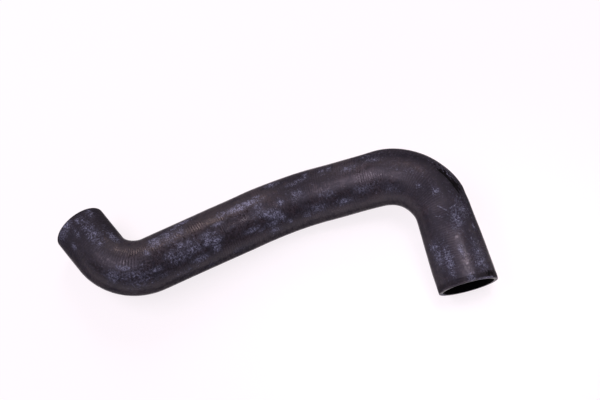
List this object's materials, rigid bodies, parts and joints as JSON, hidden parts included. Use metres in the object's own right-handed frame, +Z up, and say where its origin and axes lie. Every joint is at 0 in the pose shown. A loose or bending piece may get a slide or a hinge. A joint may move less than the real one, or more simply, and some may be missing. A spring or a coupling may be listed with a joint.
{
  "type": "radiator hose",
  "caption": "Moulded rubber coolant hose with a tight elbow, a gentle sweep and a knee, widening towards its large mouth, that joins a radiator to an engine.",
  "frame": {"origin": "centre of the underside of the bounding box, on the ground that the hose rests on", "axes": "+Z up, with the hose lying as it comes to rest; +X from its elbow to its large mouth; the large mouth opens towards -Y and the small mouth towards +Y"},
  "size_m": [0.3816, 0.1398, 0.0672],
  "materials": {
    "hose_rubber": "satin, cloth-wrapped"
  },
  "bodies": {
    "root": {"radiator_hose": "hose_rubber"}
  },
  "joints": []
}
